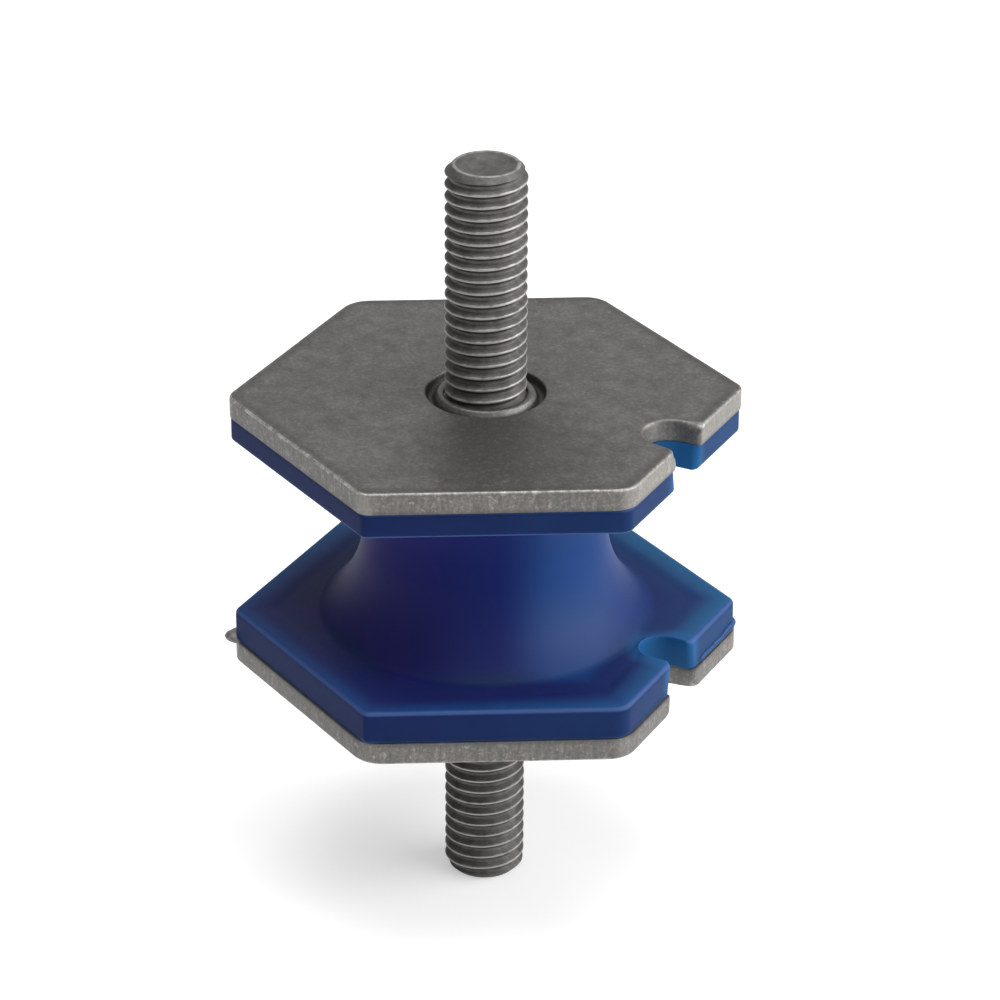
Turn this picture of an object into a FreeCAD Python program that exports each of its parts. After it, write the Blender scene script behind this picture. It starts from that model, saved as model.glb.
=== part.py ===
import FreeCAD, Part
import math
import os

import Sketcher

# Exhaust mount bushing: a bobbin of cast polyurethane between two stamped hexagonal plates, with a stud
# standing out of each plate. All sizes are in millimetres and degrees.
# Frame: origin on the stud axis at the lower plate's outer face, +Z towards the upper stud, +X through the
# notches in the plates.

DRIVING_SIZES = [
    ("across_flats", 43.0, "plate width from flat to flat"),
    ("plate_thickness", 2.2, "stamped plate"),
    ("plate_corner_radius", 2.4, "round of the six plate corners"),
    ("plate_edge_bevel", 0.3, "soft edge that the stamping die leaves round the outer face"),
    ("notch_width", 5.3, "open notch in one flat of each plate"),
    ("notch_depth", 4.6, "from the flat to the notch's round end"),
    ("notch_round_lip", 1.2, "rounded lip on one side of the notch's mouth"),
    ("notch_crisp_lip", 0.4, "crisper lip on the other side"),
    ("stud_diameter", 8.0, "M8 stud over the thread crests"),
    ("stud_shoulder", 0.25, "plain shoulder that fills the plate's hole, outside the thread"),
    ("stake_ring_width", 0.4, "ring of plate metal squeezed against the stud"),
    ("stake_groove_width", 1.15, "punched groove around that ring"),
    ("stake_groove_depth", 0.9, "depth of the punched groove"),
    ("stake_groove_flare", 0.2, "how much wider the groove is at its mouth"),
    ("stake_ring_chamfer", 0.2, "bevel inside the ring, beside the shoulder"),
    ("upper_stud_reach", 23.5, "upper stud, from the plate to the tip"),
    ("lower_stud_reach", 24.1, "lower stud, from the plate to the tip"),
    ("stud_tip_chamfer", 0.75, "bevel at the tip"),
    ("stud_dish_radius", 2.6, "rim of the shallow dish in the tip"),
    ("stud_dish_depth", 0.22, "depth of that dish"),
    ("stud_head_diameter", 13.0, "flat head behind the plate"),
    ("stud_head_thickness", 2.0, "height of that head"),
    ("body_height", 24.2, "polyurethane between the plates"),
    ("flange_inset", 0.2, "polyurethane edge behind the plate edge"),
    ("lower_flange_thickness", 3.3, "polyurethane rim on the lower plate"),
    ("upper_flange_thickness", 2.5, "polyurethane rim on the upper plate"),
    ("flange_corner_radius", 1.3, "upright corners of the rims"),
    ("flange_edge_bevel", 0.25, "edge of the rims towards the gap"),
    ("rim_width", 2.3, "flat band round the inner face of each rim"),
    ("rim_slope_width", 1.4, "sloping step inside that band"),
    ("rim_step", 0.15, "depth of the step"),
    ("waist_diameter", 23.8, "narrowest part of the neck"),
    ("neck_root_diameter", 32.7, "neck where it meets the rims"),
    ("neck_root_radius", 1.2, "fillet between the neck and the rims"),
    ("body_notch_undersize", 0.05, "the rim's notch inside the plate's notch, per side, at the plate"),
    ("body_notch_draft", 8.0, "draft of the notch sides in the rims, in degrees"),
    ("body_notch_setback", 0.1, "the rim's notch is this much shallower than the plate's"),
    ("flash_height", 0.4, "moulding flash at the foot of the lower rim"),
    ("flash_reach", 0.35, "how far the flash stands out of the rim"),
    ("flash_gap", 0.9, "from the notch's mouth to the start of the flash"),
]
SHEET = "sizes"
HEX_SIDES = 6
FULL_TURN = 360.0
CUT_OVERSHOOT = 2.0
# Two points or radii closer than this are the same one, and a cut that takes less than this took nothing.
SAME = 1e-4
# An edge at least this share of the way out to a hexagon's corner is one of its corner edges.
CORNER_SHARE = 0.99
# A straight edge is no longer than its chord but for rounding.
STRAIGHT = 1.001
# Features are made with these sizes before their formulas take over.
FIRST_LENGTH = 1.0
FIRST_ROUND = 0.1


def make_sheet(doc):
    """The table of driving sizes. Returns their values by name."""
    sheet = doc.addObject("Spreadsheet::Sheet", SHEET)
    sheet.Label = SHEET
    for row, (alias, value, meaning) in enumerate(DRIVING_SIZES, start=1):
        sheet.set(f"A{row}", alias)
        sheet.set(f"B{row}", str(value))
        sheet.set(f"C{row}", meaning)
        sheet.setAlias(f"B{row}", alias)
    doc.recompute()
    return {alias: value for alias, value, _ in DRIVING_SIZES}


def of_sheet(formula):
    """A formula in the words of the table, as an expression of the document."""
    words = sorted((alias for alias, _, _ in DRIVING_SIZES), key=len, reverse=True)
    marked = formula
    for number, word in enumerate(words):
        marked = marked.replace(word, f"@{number}@")
    for number, word in enumerate(words):
        marked = marked.replace(f"@{number}@", f"<<{SHEET}>>.{word}")
    return marked


def new_body(doc, name):
    body = doc.addObject("PartDesign::Body", name)
    body.Label = name
    return body


def place(body, height_formula, turned_over=False):
    """Puts a body on the stud axis at a height, turned over about X if it faces down."""
    angle = FULL_TURN / 2 if turned_over else 0.0
    rotation = FreeCAD.Rotation(FreeCAD.Vector(1, 0, 0), angle)
    body.Placement = FreeCAD.Placement(FreeCAD.Vector(0, 0, 0), rotation)
    body.setExpression(".Placement.Base.z", of_sheet(height_formula))


def new_sketch(body, name, role, height_formula=None):
    """A sketch on one of the body's own origin planes, raised along its normal if a height is given."""
    sketch = body.newObject("Sketcher::SketchObject", name)
    plane = next(f for f in body.Origin.OriginFeatures if f.Role == role)
    sketch.AttachmentSupport = [(plane, "")]
    sketch.MapMode = "FlatFace"
    if height_formula:
        sketch.setExpression(".AttachmentOffset.Base.z", of_sheet(height_formula))
    return sketch


def size_constraint(sketch, name, formula, *arguments):
    """A named dimension of the sketch that follows the table."""
    index = sketch.addConstraint(Sketcher.Constraint(*arguments))
    sketch.renameConstraint(index, name)
    sketch.setExpression(f"Constraints.{name}", of_sheet(formula))


def close_loop(sketch, lines):
    """Joins the end of each line to the start of the next."""
    for here, line in enumerate(lines):
        following = lines[(here + 1) % len(lines)]
        sketch.addConstraint(Sketcher.Constraint("Coincident", line, 2, following, 1))


def hexagon(sketch, apothem, formula):
    """A regular hexagon with a flat across +X."""
    corner_radius = 2 * apothem / math.sqrt(3)
    corners = []
    for k in range(HEX_SIDES):
        angle = 2 * math.pi * (k - 0.5) / HEX_SIDES
        corners.append(FreeCAD.Vector(corner_radius * math.cos(angle), corner_radius * math.sin(angle), 0))
    lines = []
    for k in range(HEX_SIDES):
        side = Part.LineSegment(corners[k], corners[(k + 1) % HEX_SIDES])
        lines.append(sketch.addGeometry(side, False))
    circle = Part.Circle(FreeCAD.Vector(0, 0, 0), FreeCAD.Vector(0, 0, 1), corner_radius)
    through_corners = sketch.addGeometry(circle, True)
    close_loop(sketch, lines)
    sketch.addConstraint(Sketcher.Constraint("Coincident", through_corners, 3, -1, 1))
    for line in lines:
        sketch.addConstraint(Sketcher.Constraint("PointOnObject", line, 1, through_corners))
    for line in lines[1:]:
        sketch.addConstraint(Sketcher.Constraint("Equal", lines[0], line))
    sketch.addConstraint(Sketcher.Constraint("Vertical", lines[0]))
    size_constraint(sketch, "apothem", formula, "DistanceX", -1, 1, lines[0], 1, apothem)


def open_slot(sketch, centre, radius, outer, centre_formula, radius_formula, outer_formula):
    """A slot with a round inner end on the X axis, running out past the flat."""
    middle = FreeCAD.Vector(centre, 0, 0)
    circle = Part.Circle(middle, FreeCAD.Vector(0, 0, 1), radius)
    arc = sketch.addGeometry(Part.ArcOfCircle(circle, math.pi / 2, 3 * math.pi / 2), False)
    points = [
        FreeCAD.Vector(centre, -radius, 0),
        FreeCAD.Vector(outer, -radius, 0),
        FreeCAD.Vector(outer, radius, 0),
        FreeCAD.Vector(centre, radius, 0),
    ]
    near = sketch.addGeometry(Part.LineSegment(points[0], points[1]), False)
    mouth = sketch.addGeometry(Part.LineSegment(points[1], points[2]), False)
    far = sketch.addGeometry(Part.LineSegment(points[2], points[3]), False)
    sketch.addConstraint(Sketcher.Constraint("Tangent", arc, 2, near, 1))
    sketch.addConstraint(Sketcher.Constraint("Coincident", near, 2, mouth, 1))
    sketch.addConstraint(Sketcher.Constraint("Coincident", mouth, 2, far, 1))
    sketch.addConstraint(Sketcher.Constraint("Tangent", far, 2, arc, 1))
    sketch.addConstraint(Sketcher.Constraint("Vertical", mouth))
    sketch.addConstraint(Sketcher.Constraint("Horizontal", near))
    sketch.addConstraint(Sketcher.Constraint("PointOnObject", arc, 3, -1))
    size_constraint(sketch, "end_radius", radius_formula, "Radius", arc, radius)
    size_constraint(sketch, "end_centre", centre_formula, "DistanceX", -1, 1, arc, 3, centre)
    size_constraint(sketch, "past_flat", outer_formula, "DistanceX", -1, 1, mouth, 1, outer)


def round_outline(sketch, radius, formula):
    """A circle about the stud axis."""
    circle = Part.Circle(FreeCAD.Vector(0, 0, 0), FreeCAD.Vector(0, 0, 1), radius)
    ring = sketch.addGeometry(circle, False)
    sketch.addConstraint(Sketcher.Constraint("Coincident", ring, 3, -1, 1))
    size_constraint(sketch, "radius", formula, "Radius", ring, radius)


def outline(sketch, corners):
    """A closed outline of straight sides. Each corner gives x, y and their formulas."""
    points = [FreeCAD.Vector(x, y, 0) for x, y, _, _ in corners]
    lines = []
    for k, point in enumerate(points):
        side = Part.LineSegment(point, points[(k + 1) % len(points)])
        lines.append(sketch.addGeometry(side, False))
    close_loop(sketch, lines)
    for k, (x, y, x_formula, y_formula) in enumerate(corners):
        fix_point(sketch, lines[k], 1, f"corner{k}", x, y, x_formula, y_formula)


def fix_point(sketch, geometry, end, name, x, y, x_formula, y_formula):
    """Ties a point of the sketch to its two formulas, or to an axis where a formula is None."""
    if x_formula is None:
        sketch.addConstraint(Sketcher.Constraint("PointOnObject", geometry, end, -2))
    else:
        size_constraint(sketch, f"{name}_across", x_formula, "DistanceX", -1, 1, geometry, end, x)
    if y_formula is None:
        sketch.addConstraint(Sketcher.Constraint("PointOnObject", geometry, end, -1))
    else:
        size_constraint(sketch, f"{name}_up", y_formula, "DistanceY", -1, 1, geometry, end, y)


def pad(body, name, sketch, length_formula):
    feature = body.newObject("PartDesign::Pad", name)
    feature.Profile = sketch
    feature.Length = FIRST_LENGTH
    feature.setExpression("Length", of_sheet(length_formula))
    body.Document.recompute()
    return feature


def drop_of_volume(body, feature, before):
    """Stops the build where a cut took nothing away."""
    body.Document.recompute()
    if not feature.Shape.isValid() or feature.Shape.Volume >= before - SAME:
        raise RuntimeError(f"{feature.Label} cuts nothing")
    return feature


def pocket_up(body, name, sketch, length_formula):
    """A pocket that goes up from its sketch."""
    before = body.Shape.Volume
    feature = body.newObject("PartDesign::Pocket", name)
    feature.Profile = sketch
    feature.Reversed = True
    feature.Length = FIRST_LENGTH
    feature.setExpression("Length", of_sheet(length_formula))
    return drop_of_volume(body, feature, before)


def turned_cut(body, name, sketch):
    """A groove turned about the stud axis."""
    before = body.Shape.Volume
    feature = body.newObject("PartDesign::Groove", name)
    feature.Profile = sketch
    feature.ReferenceAxis = (sketch, ["V_Axis"])
    feature.Angle = FULL_TURN
    return drop_of_volume(body, feature, before)


def lofted_cut(body, name, first, second):
    before = body.Shape.Volume
    feature = body.newObject("PartDesign::SubtractiveLoft", name)
    feature.Profile = first
    feature.Sections = [second]
    feature.Ruled = True
    return drop_of_volume(body, feature, before)


def turned(body, name, sketch):
    """A solid turned about the stud axis."""
    feature = body.newObject("PartDesign::Revolution", name)
    feature.Profile = sketch
    feature.ReferenceAxis = (sketch, ["V_Axis"])
    feature.Angle = FULL_TURN
    body.Document.recompute()
    return feature


def edges_where(feature, wanted):
    """Names of the feature's edges whose middle point passes a test."""
    names = []
    for number, edge in enumerate(feature.Shape.Edges, start=1):
        middle = edge.valueAt((edge.FirstParameter + edge.LastParameter) / 2)
        if wanted(edge, middle):
            names.append(f"Edge{number}")
    if not names:
        raise RuntimeError(f"no edges found on {feature.Label}")
    return names


def rounded(body, name, base, wanted, radius_formula):
    feature = body.newObject("PartDesign::Fillet", name)
    feature.Base = (base, edges_where(base, wanted))
    feature.Radius = FIRST_ROUND
    feature.setExpression("Radius", of_sheet(radius_formula))
    body.Document.recompute()
    return feature


def bevelled(body, name, base, wanted, size_formula):
    feature = body.newObject("PartDesign::Chamfer", name)
    feature.Base = (base, edges_where(base, wanted))
    feature.Size = FIRST_ROUND
    feature.setExpression("Size", of_sheet(size_formula))
    body.Document.recompute()
    return feature


def is_upright(edge):
    """True for a straight edge that runs more along Z than across it."""
    first, last = edge.Vertexes[0].Point, edge.Vertexes[-1].Point
    rise = abs(last.z - first.z)
    across = math.hypot(last.x - first.x, last.y - first.y)
    return rise > across and edge.Length < STRAIGHT * math.hypot(rise, across)


def at_height(point, height):
    return abs(point.z - height) < SAME


def from_axis(point):
    return math.hypot(point.x, point.y)


def hexagon_corner(apothem):
    """A test for the upright edges at a hexagon's corners."""
    corner_distance = 2 * apothem / math.sqrt(3)

    def wanted(edge, middle):
        return is_upright(edge) and from_axis(middle) > CORNER_SHARE * corner_distance

    return wanted


def plate(doc, name, v):
    """The stamping used at both ends. Its bonded face is at z = 0 and its outer face looks up."""
    body = new_body(doc, name)
    apothem = v["across_flats"] / 2
    thickness = v["plate_thickness"]
    notch_radius = v["notch_width"] / 2
    hole_radius = v["stud_diameter"] / 2 + v["stud_shoulder"]
    ring_radius = hole_radius + v["stake_ring_width"]
    groove_radius = ring_radius + v["stake_groove_width"]

    blank_sketch = new_sketch(body, name + "_blank_outline", "XY_Plane")
    hexagon(blank_sketch, apothem, "across_flats / 2")
    blank = pad(body, name + "_blank", blank_sketch, "plate_thickness")
    rounded(body, name + "_corners", blank, hexagon_corner(apothem), "plate_corner_radius")

    hole_sketch = new_sketch(body, name + "_hole_outline", "XY_Plane")
    round_outline(hole_sketch, hole_radius, "stud_diameter / 2 + stud_shoulder")
    pocket_up(body, name + "_stud_hole", hole_sketch, "plate_thickness")

    notch_sketch = new_sketch(body, name + "_notch_outline", "XY_Plane")
    open_slot(
        notch_sketch,
        apothem - v["notch_depth"] + notch_radius,
        notch_radius,
        apothem + CUT_OVERSHOOT,
        "across_flats / 2 - notch_depth + notch_width / 2",
        "notch_width / 2",
        f"across_flats / 2 + {CUT_OVERSHOOT}",
    )
    notch = pocket_up(body, name + "_notch", notch_sketch, "plate_thickness")

    def lip(side):
        def wanted(edge, middle):
            on_flat = abs(middle.x - apothem) < SAME
            return is_upright(edge) and on_flat and abs(middle.y - side * notch_radius) < SAME

        return wanted

    round_lip = rounded(body, name + "_round_lip", notch, lip(-1), "notch_round_lip")
    rounded(body, name + "_crisp_lip", round_lip, lip(1), "notch_crisp_lip")

    groove_sketch = new_sketch(body, name + "_stake_outline", "XZ_Plane")
    floor = thickness - v["stake_groove_depth"]
    top = thickness + CUT_OVERSHOOT
    ring = "stud_diameter / 2 + stud_shoulder + stake_ring_width"
    groove = ring + " + stake_groove_width"
    floor_formula = "plate_thickness - stake_groove_depth"
    outline(
        groove_sketch,
        [
            (ring_radius, floor, ring, floor_formula),
            (groove_radius - v["stake_groove_flare"], floor, groove + " - stake_groove_flare", floor_formula),
            (groove_radius, thickness, groove, "plate_thickness"),
            (groove_radius, top, groove, f"plate_thickness + {CUT_OVERSHOOT}"),
            (ring_radius, top, ring, f"plate_thickness + {CUT_OVERSHOOT}"),
        ],
    )
    stake = turned_cut(body, name + "_stake_groove", groove_sketch)

    def hole_mouth(edge, middle):
        return at_height(middle, thickness) and abs(from_axis(middle) - hole_radius) < SAME

    def outer_outline(edge, middle):
        return at_height(middle, thickness) and from_axis(middle) > groove_radius + SAME

    ring_bevel = bevelled(body, name + "_ring_bevel", stake, hole_mouth, "stake_ring_chamfer")
    bevelled(body, name + "_edge_bevel", ring_bevel, outer_outline, "plate_edge_bevel")
    return body


def stud(doc, name, v, reach_name):
    """A headed stud. Its head's free face is at z = 0 and the shank stands up, through the plate's hole."""
    body = new_body(doc, name)
    head_radius = v["stud_head_diameter"] / 2
    head_top = v["stud_head_thickness"]
    shank_radius = v["stud_diameter"] / 2
    shoulder_radius = shank_radius + v["stud_shoulder"]
    shoulder_formula = "stud_diameter / 2 + stud_shoulder"
    shoulder_top = head_top + v["plate_thickness"]
    shoulder_top_formula = "stud_head_thickness + plate_thickness"
    chamfer = v["stud_tip_chamfer"]
    tip = shoulder_top + v[reach_name]
    tip_formula = shoulder_top_formula + " + " + reach_name
    sketch = new_sketch(body, name + "_profile", "XZ_Plane")
    corners = [
        (0, tip - v["stud_dish_depth"], None, tip_formula + " - stud_dish_depth"),
        (0, 0, None, None),
        (head_radius, 0, "stud_head_diameter / 2", None),
        (head_radius, head_top, "stud_head_diameter / 2", "stud_head_thickness"),
        (shoulder_radius, head_top, shoulder_formula, "stud_head_thickness"),
        (shoulder_radius, shoulder_top, shoulder_formula, shoulder_top_formula),
        (shank_radius, shoulder_top, "stud_diameter / 2", shoulder_top_formula),
        (shank_radius, tip - chamfer, "stud_diameter / 2", tip_formula + " - stud_tip_chamfer"),
        (shank_radius - chamfer, tip, "stud_diameter / 2 - stud_tip_chamfer", tip_formula),
        (v["stud_dish_radius"], tip, "stud_dish_radius", tip_formula),
    ]
    outline(sketch, corners)
    turned(body, name + "_turned", sketch)
    return body


def body_notch(body, name, v, rim_height, plate_height, thickness_name):
    """The drafted notch through one rim, from the plate's face to the rim's inner face."""
    apothem = v["across_flats"] / 2
    depth = v["notch_depth"] - v["body_notch_setback"]
    at_plate = v["notch_width"] / 2 - v["body_notch_undersize"]
    at_rim = at_plate - v[thickness_name] * math.tan(math.radians(v["body_notch_draft"]))
    at_plate_formula = "(notch_width / 2 - body_notch_undersize)"
    at_rim_formula = f"({at_plate_formula} - {thickness_name} * tan(body_notch_draft * 1 deg))"
    sketches = []
    for end, height, radius, radius_formula in (
        ("plate", plate_height, at_plate, at_plate_formula),
        ("rim", rim_height, at_rim, at_rim_formula),
    ):
        sketch = new_sketch(body, f"{name}_at_{end}", "XY_Plane", height)
        open_slot(
            sketch,
            apothem - depth + radius,
            radius,
            apothem + CUT_OVERSHOOT,
            f"across_flats / 2 - notch_depth + body_notch_setback + {radius_formula}",
            radius_formula,
            f"across_flats / 2 + {CUT_OVERSHOOT}",
        )
        sketches.append(sketch)
    return lofted_cut(body, name, *sketches)


def rim_recess(body, name, v, rim_formula, floor_formula):
    """The shallow hexagonal field inside the band round a rim's inner face."""
    wide = v["across_flats"] / 2 - v["flange_inset"] - v["rim_width"]
    narrow = wide - v["rim_slope_width"]
    wide_formula = "across_flats / 2 - flange_inset - rim_width"
    mouth = new_sketch(body, name + "_mouth", "XY_Plane", rim_formula)
    hexagon(mouth, wide, wide_formula)
    floor = new_sketch(body, name + "_floor", "XY_Plane", floor_formula)
    hexagon(floor, narrow, wide_formula + " - rim_slope_width")
    lofted_cut(body, name, mouth, floor)


def head_seat(body, name, v, start_formula):
    """The space that a stud's head fills in the polyurethane."""
    sketch = new_sketch(body, name + "_outline", "XY_Plane", start_formula)
    round_outline(sketch, v["stud_head_diameter"] / 2, "stud_head_diameter / 2")
    pocket_up(body, name, sketch, "stud_head_thickness")


def neck(body, v, low, high, low_formula, high_formula):
    """The waisted neck, turned about the stud axis between the floors of the two recesses: a deep arc
    that runs into each floor by a small fillet."""
    root = v["neck_root_diameter"] / 2
    waist = v["waist_diameter"] / 2
    fillet = v["neck_root_radius"]
    half = (high - low) / 2
    middle = (low + high) / 2
    drawn_in = root - waist
    bow = (half**2 + drawn_in**2) / (2 * drawn_in)
    half_formula = f"(({high_formula}) - ({low_formula})) / 2"
    in_formula = "(neck_root_diameter - waist_diameter) / 2"
    bow_formula = f"(({half_formula}) ^ 2 + ({in_formula}) ^ 2) / (2 * {in_formula})"
    reach = bow - fillet
    rise = half - fillet
    fillet_across = waist + bow - math.sqrt(reach**2 - rise**2)
    spread = math.asin(rise / reach)

    sketch = new_sketch(body, "neck_profile", "XZ_Plane")
    axis_low = FreeCAD.Vector(0, low, 0)
    axis_high = FreeCAD.Vector(0, high, 0)
    foot = sketch.addGeometry(Part.LineSegment(axis_low, FreeCAD.Vector(fillet_across, low, 0)), False)
    crown = sketch.addGeometry(Part.LineSegment(FreeCAD.Vector(fillet_across, high, 0), axis_high), False)
    spine = sketch.addGeometry(Part.LineSegment(axis_high, axis_low), False)

    def arc(across, up, radius, start, end):
        circle = Part.Circle(FreeCAD.Vector(across, up, 0), FreeCAD.Vector(0, 0, 1), radius)
        return sketch.addGeometry(Part.ArcOfCircle(circle, start, end), False)

    flank = arc(waist + bow, middle, bow, math.pi - spread, math.pi + spread)
    low_root = arc(fillet_across, low + fillet, fillet, math.pi + spread, 3 * math.pi / 2)
    high_root = arc(fillet_across, high - fillet, fillet, math.pi / 2, math.pi - spread)
    sketch.addConstraint(Sketcher.Constraint("Tangent", foot, 2, low_root, 2))
    sketch.addConstraint(Sketcher.Constraint("Tangent", low_root, 1, flank, 2))
    sketch.addConstraint(Sketcher.Constraint("Tangent", flank, 1, high_root, 2))
    sketch.addConstraint(Sketcher.Constraint("Tangent", high_root, 1, crown, 1))
    sketch.addConstraint(Sketcher.Constraint("Coincident", crown, 2, spine, 1))
    sketch.addConstraint(Sketcher.Constraint("Coincident", spine, 2, foot, 1))
    sketch.addConstraint(Sketcher.Constraint("Horizontal", foot))
    sketch.addConstraint(Sketcher.Constraint("Horizontal", crown))
    fix_point(sketch, foot, 1, "axis_low", 0, low, None, low_formula)
    fix_point(sketch, crown, 2, "axis_high", 0, high, None, high_formula)
    size_constraint(sketch, "low_root", "neck_root_radius", "Radius", low_root, fillet)
    size_constraint(sketch, "high_root", "neck_root_radius", "Radius", high_root, fillet)
    size_constraint(sketch, "bow", bow_formula, "Radius", flank, bow)
    bow_across = f"waist_diameter / 2 + {bow_formula}"
    size_constraint(sketch, "bow_across", bow_across, "DistanceX", -1, 1, flank, 3, waist + bow)
    turned(body, "neck", sketch)


def flash(body, v):
    """The thin lip of flash at the foot of the lower rim, from its notch to the corner beside it."""
    apothem = v["across_flats"] / 2 - v["flange_inset"]
    side = "across_flats / 2 - flange_inset"
    start = v["notch_width"] / 2 + v["flash_gap"]
    start_formula = "notch_width / 2 + flash_gap"
    end = apothem / math.sqrt(3)
    end_formula = f"({side}) / sqrt(3)"
    reach = v["flash_reach"]
    sketch = new_sketch(body, "flash_outline", "XY_Plane")
    outline(
        sketch,
        [
            (apothem - reach, start, side + " - flash_reach", start_formula),
            (apothem + reach, start + reach, side + " + flash_reach", start_formula + " + flash_reach"),
            (apothem + reach, end, side + " + flash_reach", end_formula),
            (apothem - reach, end + reach, side + " - flash_reach", end_formula + " + flash_reach"),
        ],
    )
    pad(body, "flash", sketch, "flash_height")


def polyurethane(doc, name, v):
    """The cast body: two hexagonal rims and the waisted neck between them. Its lower face is at z = 0."""
    body = new_body(doc, name)
    body.AllowCompound = True
    height = v["body_height"]
    apothem = v["across_flats"] / 2 - v["flange_inset"]
    apothem_formula = "across_flats / 2 - flange_inset"
    lower_rim = v["lower_flange_thickness"]
    upper_rim = height - v["upper_flange_thickness"]
    lower_rim_formula = "lower_flange_thickness"
    upper_rim_formula = "body_height - upper_flange_thickness"
    neck_low = lower_rim - v["rim_step"]
    neck_high = upper_rim + v["rim_step"]
    neck_low_formula = lower_rim_formula + " - rim_step"
    neck_high_formula = upper_rim_formula + " + rim_step"

    lower_sketch = new_sketch(body, "lower_rim_outline", "XY_Plane")
    hexagon(lower_sketch, apothem, apothem_formula)
    pad(body, "lower_rim", lower_sketch, lower_rim_formula)
    upper_sketch = new_sketch(body, "upper_rim_outline", "XY_Plane", upper_rim_formula)
    hexagon(upper_sketch, apothem, apothem_formula)
    rims = pad(body, "upper_rim", upper_sketch, "upper_flange_thickness")
    rounded(body, "rim_corners", rims, hexagon_corner(apothem), "flange_corner_radius")
    rim_recess(body, "lower_recess", v, lower_rim_formula, neck_low_formula)
    rim_recess(body, "upper_recess", v, upper_rim_formula, neck_high_formula)
    neck(body, v, neck_low, neck_high, neck_low_formula, neck_high_formula)
    body_notch(body, "lower_notch", v, lower_rim_formula, None, "lower_flange_thickness")
    notches = body_notch(body, "upper_notch", v, upper_rim_formula, "body_height", "upper_flange_thickness")

    def outer_rim_edge(edge, middle):
        on_rim = at_height(middle, lower_rim) or at_height(middle, upper_rim)
        return on_rim and from_axis(middle) > apothem - SAME

    bevelled(body, "rim_edges", notches, outer_rim_edge, "flange_edge_bevel")
    head_seat(body, "lower_head_seat", v, None)
    head_seat(body, "upper_head_seat", v, "body_height - stud_head_thickness")
    flash(body, v)
    return body


def main():
    doc = FreeCAD.newDocument("exhaust_mount_bushing")
    v = make_sheet(doc)
    upper_plane = "plate_thickness + body_height"

    lower_plate = plate(doc, "lower_plate", v)
    place(lower_plate, "plate_thickness", turned_over=True)
    upper_plate = plate(doc, "upper_plate", v)
    place(upper_plate, upper_plane)
    lower_stud = stud(doc, "lower_stud", v, "lower_stud_reach")
    place(lower_stud, "plate_thickness + stud_head_thickness", turned_over=True)
    upper_stud = stud(doc, "upper_stud", v, "upper_stud_reach")
    place(upper_stud, upper_plane + " - stud_head_thickness")
    body = polyurethane(doc, "polyurethane_body", v)
    place(body, "plate_thickness")
    doc.recompute()

    for item in doc.Objects:
        if "Invalid" in item.State or "Error" in item.State:
            raise RuntimeError(f"{item.Label} failed: {item.State}")
    os.makedirs("parts", exist_ok=True)
    for piece in (lower_plate, upper_plate, lower_stud, upper_stud, body):
        shape = piece.Shape
        if shape.isNull() or not shape.isValid():
            raise RuntimeError(f"{piece.Label} has no valid shape")
        shape.exportStep(f"parts/{piece.Label}.step")
        print(piece.Label, round(shape.Volume, 1), shape.BoundBox)


main()
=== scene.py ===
"""Looks of the exhaust mount bushing: stamped steel plates, threaded studs and a cast polyurethane body."""

import math

import bmesh
import bpy
from mathutils import Matrix, Vector
from mathutils.geometry import delaunay_2d_cdt


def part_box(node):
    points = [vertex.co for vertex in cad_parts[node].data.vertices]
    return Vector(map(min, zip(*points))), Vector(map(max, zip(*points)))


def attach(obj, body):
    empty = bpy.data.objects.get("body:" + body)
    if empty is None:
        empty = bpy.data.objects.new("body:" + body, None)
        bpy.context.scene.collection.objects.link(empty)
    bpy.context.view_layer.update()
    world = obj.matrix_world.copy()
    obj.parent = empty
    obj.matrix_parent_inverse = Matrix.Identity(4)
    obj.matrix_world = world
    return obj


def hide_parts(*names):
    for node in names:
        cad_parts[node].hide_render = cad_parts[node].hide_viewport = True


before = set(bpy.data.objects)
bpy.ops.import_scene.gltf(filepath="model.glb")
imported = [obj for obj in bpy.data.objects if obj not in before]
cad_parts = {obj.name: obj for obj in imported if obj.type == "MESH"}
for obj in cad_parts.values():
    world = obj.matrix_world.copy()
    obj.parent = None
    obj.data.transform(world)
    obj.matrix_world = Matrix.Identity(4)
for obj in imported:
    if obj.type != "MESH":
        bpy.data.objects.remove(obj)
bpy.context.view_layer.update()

# The meshes are worked out in millimetres and turned into metres as they are made.
MM = 0.001


def node_box(name):
    """A CAD node's lowest and highest corner in millimetres."""
    low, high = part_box(name)
    return low / MM, high / MM


LOWER_PLATE = node_box("lower_plate")
UPPER_PLATE = node_box("upper_plate")
BODY = node_box("polyurethane_body")
LOWER_STUD = node_box("lower_stud")
UPPER_STUD = node_box("upper_stud")

PLATE_APOTHEM = UPPER_PLATE[1].x
PLATE_THICKNESS = UPPER_PLATE[1].z - UPPER_PLATE[0].z
# Corner rounds one by one from the notch, anticlockwise as seen from above. The lower plate's go clockwise,
# because it is turned over.
UPPER_PLATE_CORNERS = (1.6, 2.8, 3.2, 2.0, 1.5, 2.8)
LOWER_PLATE_CORNERS = (3.0, 3.2, 2.4, 2.4, 2.4, 1.4)
PLATE_ROLL = 0.3
BURNISH = 0.06
NOTCH_HALF_WIDTH = 2.65
NOTCH_DEPTH = 4.6
NOTCH_CENTRE = PLATE_APOTHEM - NOTCH_DEPTH + NOTCH_HALF_WIDTH
# Radii of the notch's near and far lip, each at the bonded face and at the outer one.
ROUND_LIP = (0.4, 1.3)
CRISP_LIP = (0.4, 0.45)
# The outer face rolls over into the notch with these radii at the notch's end and mouth, and with less on the
# near side.
NOTCH_ROLL = (0.3, 1.1)
NEAR_ROLL_SHARE = 0.6

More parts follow.
